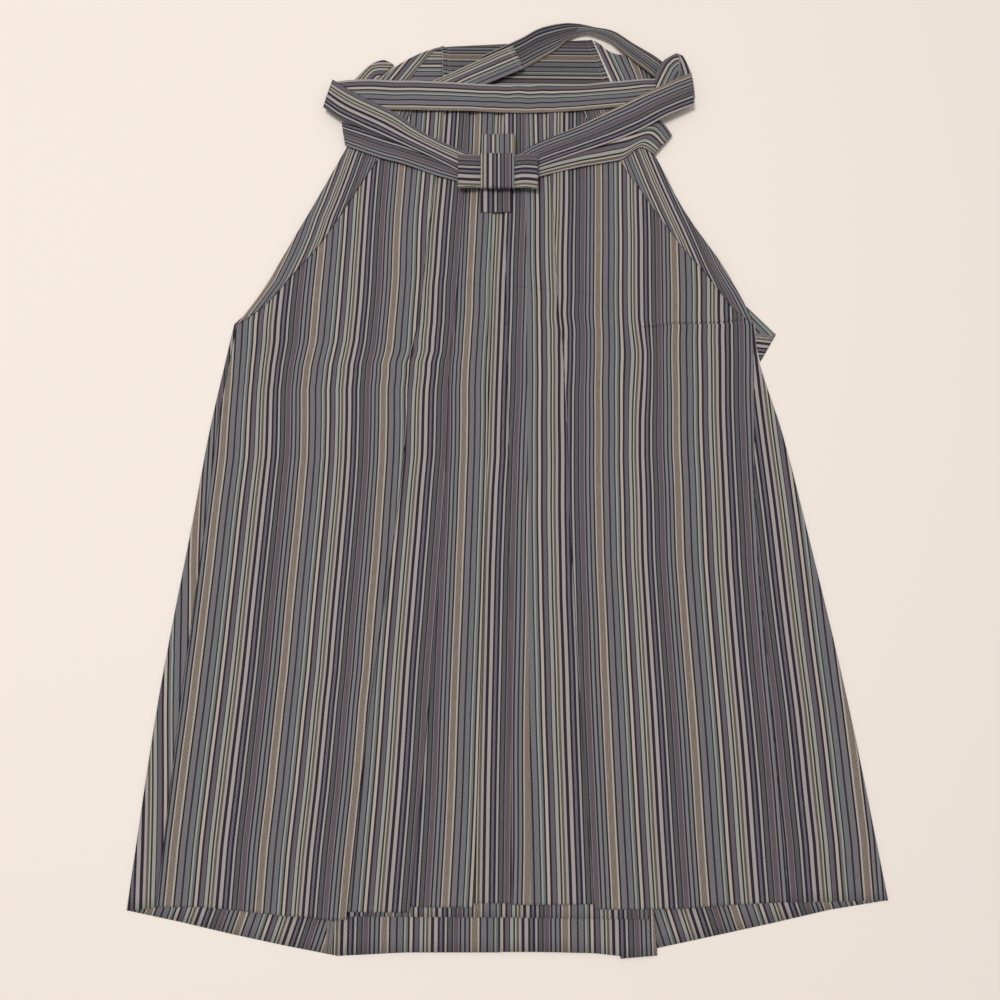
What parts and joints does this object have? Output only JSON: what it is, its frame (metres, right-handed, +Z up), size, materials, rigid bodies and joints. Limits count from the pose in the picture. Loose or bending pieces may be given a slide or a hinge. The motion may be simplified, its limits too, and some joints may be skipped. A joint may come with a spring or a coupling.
{
  "type": "hakama trousers",
  "caption": "Pleated wrap trousers laid flat with the front up, ties wound over the waist and tied in a cross knot, back board behind the waist.",
  "frame": {"origin": "middle of the underside, on the surface that the garment lies on", "axes": "+Y from the hem to the waist, +X to the right of a viewer looking at the front, +Z up out of the surface"},
  "size_m": [0.7916, 1.0904, 0.0224],
  "materials": {
    "striped_cloth": "fine weave with a soft silk sheen, narrow warp stripes in greys, mauves and tan",
    "striped_ties": "the same striped cloth folded and pressed, stripes along the tie"
  },
  "bodies": {
    "root": {"back_panel_left": "striped_cloth", "back_panel_right": "striped_cloth", "inner_panel_left": "striped_cloth", "inner_panel_right": "striped_cloth", "front_panel_left": "striped_cloth", "front_panel_right": "striped_cloth", "side_fold_left": "striped_cloth", "side_fold_right": "striped_cloth", "back_board": "striped_ties", "side_tie_end": "striped_ties", "back_tie_left": "striped_ties", "back_tie_right": "striped_ties", "tie_loop_left": "striped_ties", "back_tie_arc": "striped_ties", "back_tie_end": "striped_ties", "tie_lower_left": "striped_ties", "tie_lower_right": "striped_ties", "front_band": "striped_ties", "tie_turn_right": "striped_ties", "tie_upper_left": "striped_ties", "tie_upper_right": "striped_ties", "knot_tab": "striped_ties", "knot_tail": "striped_ties", "knot_bar": "striped_ties", "knot_wrap": "striped_ties"}
  },
  "joints": []
}
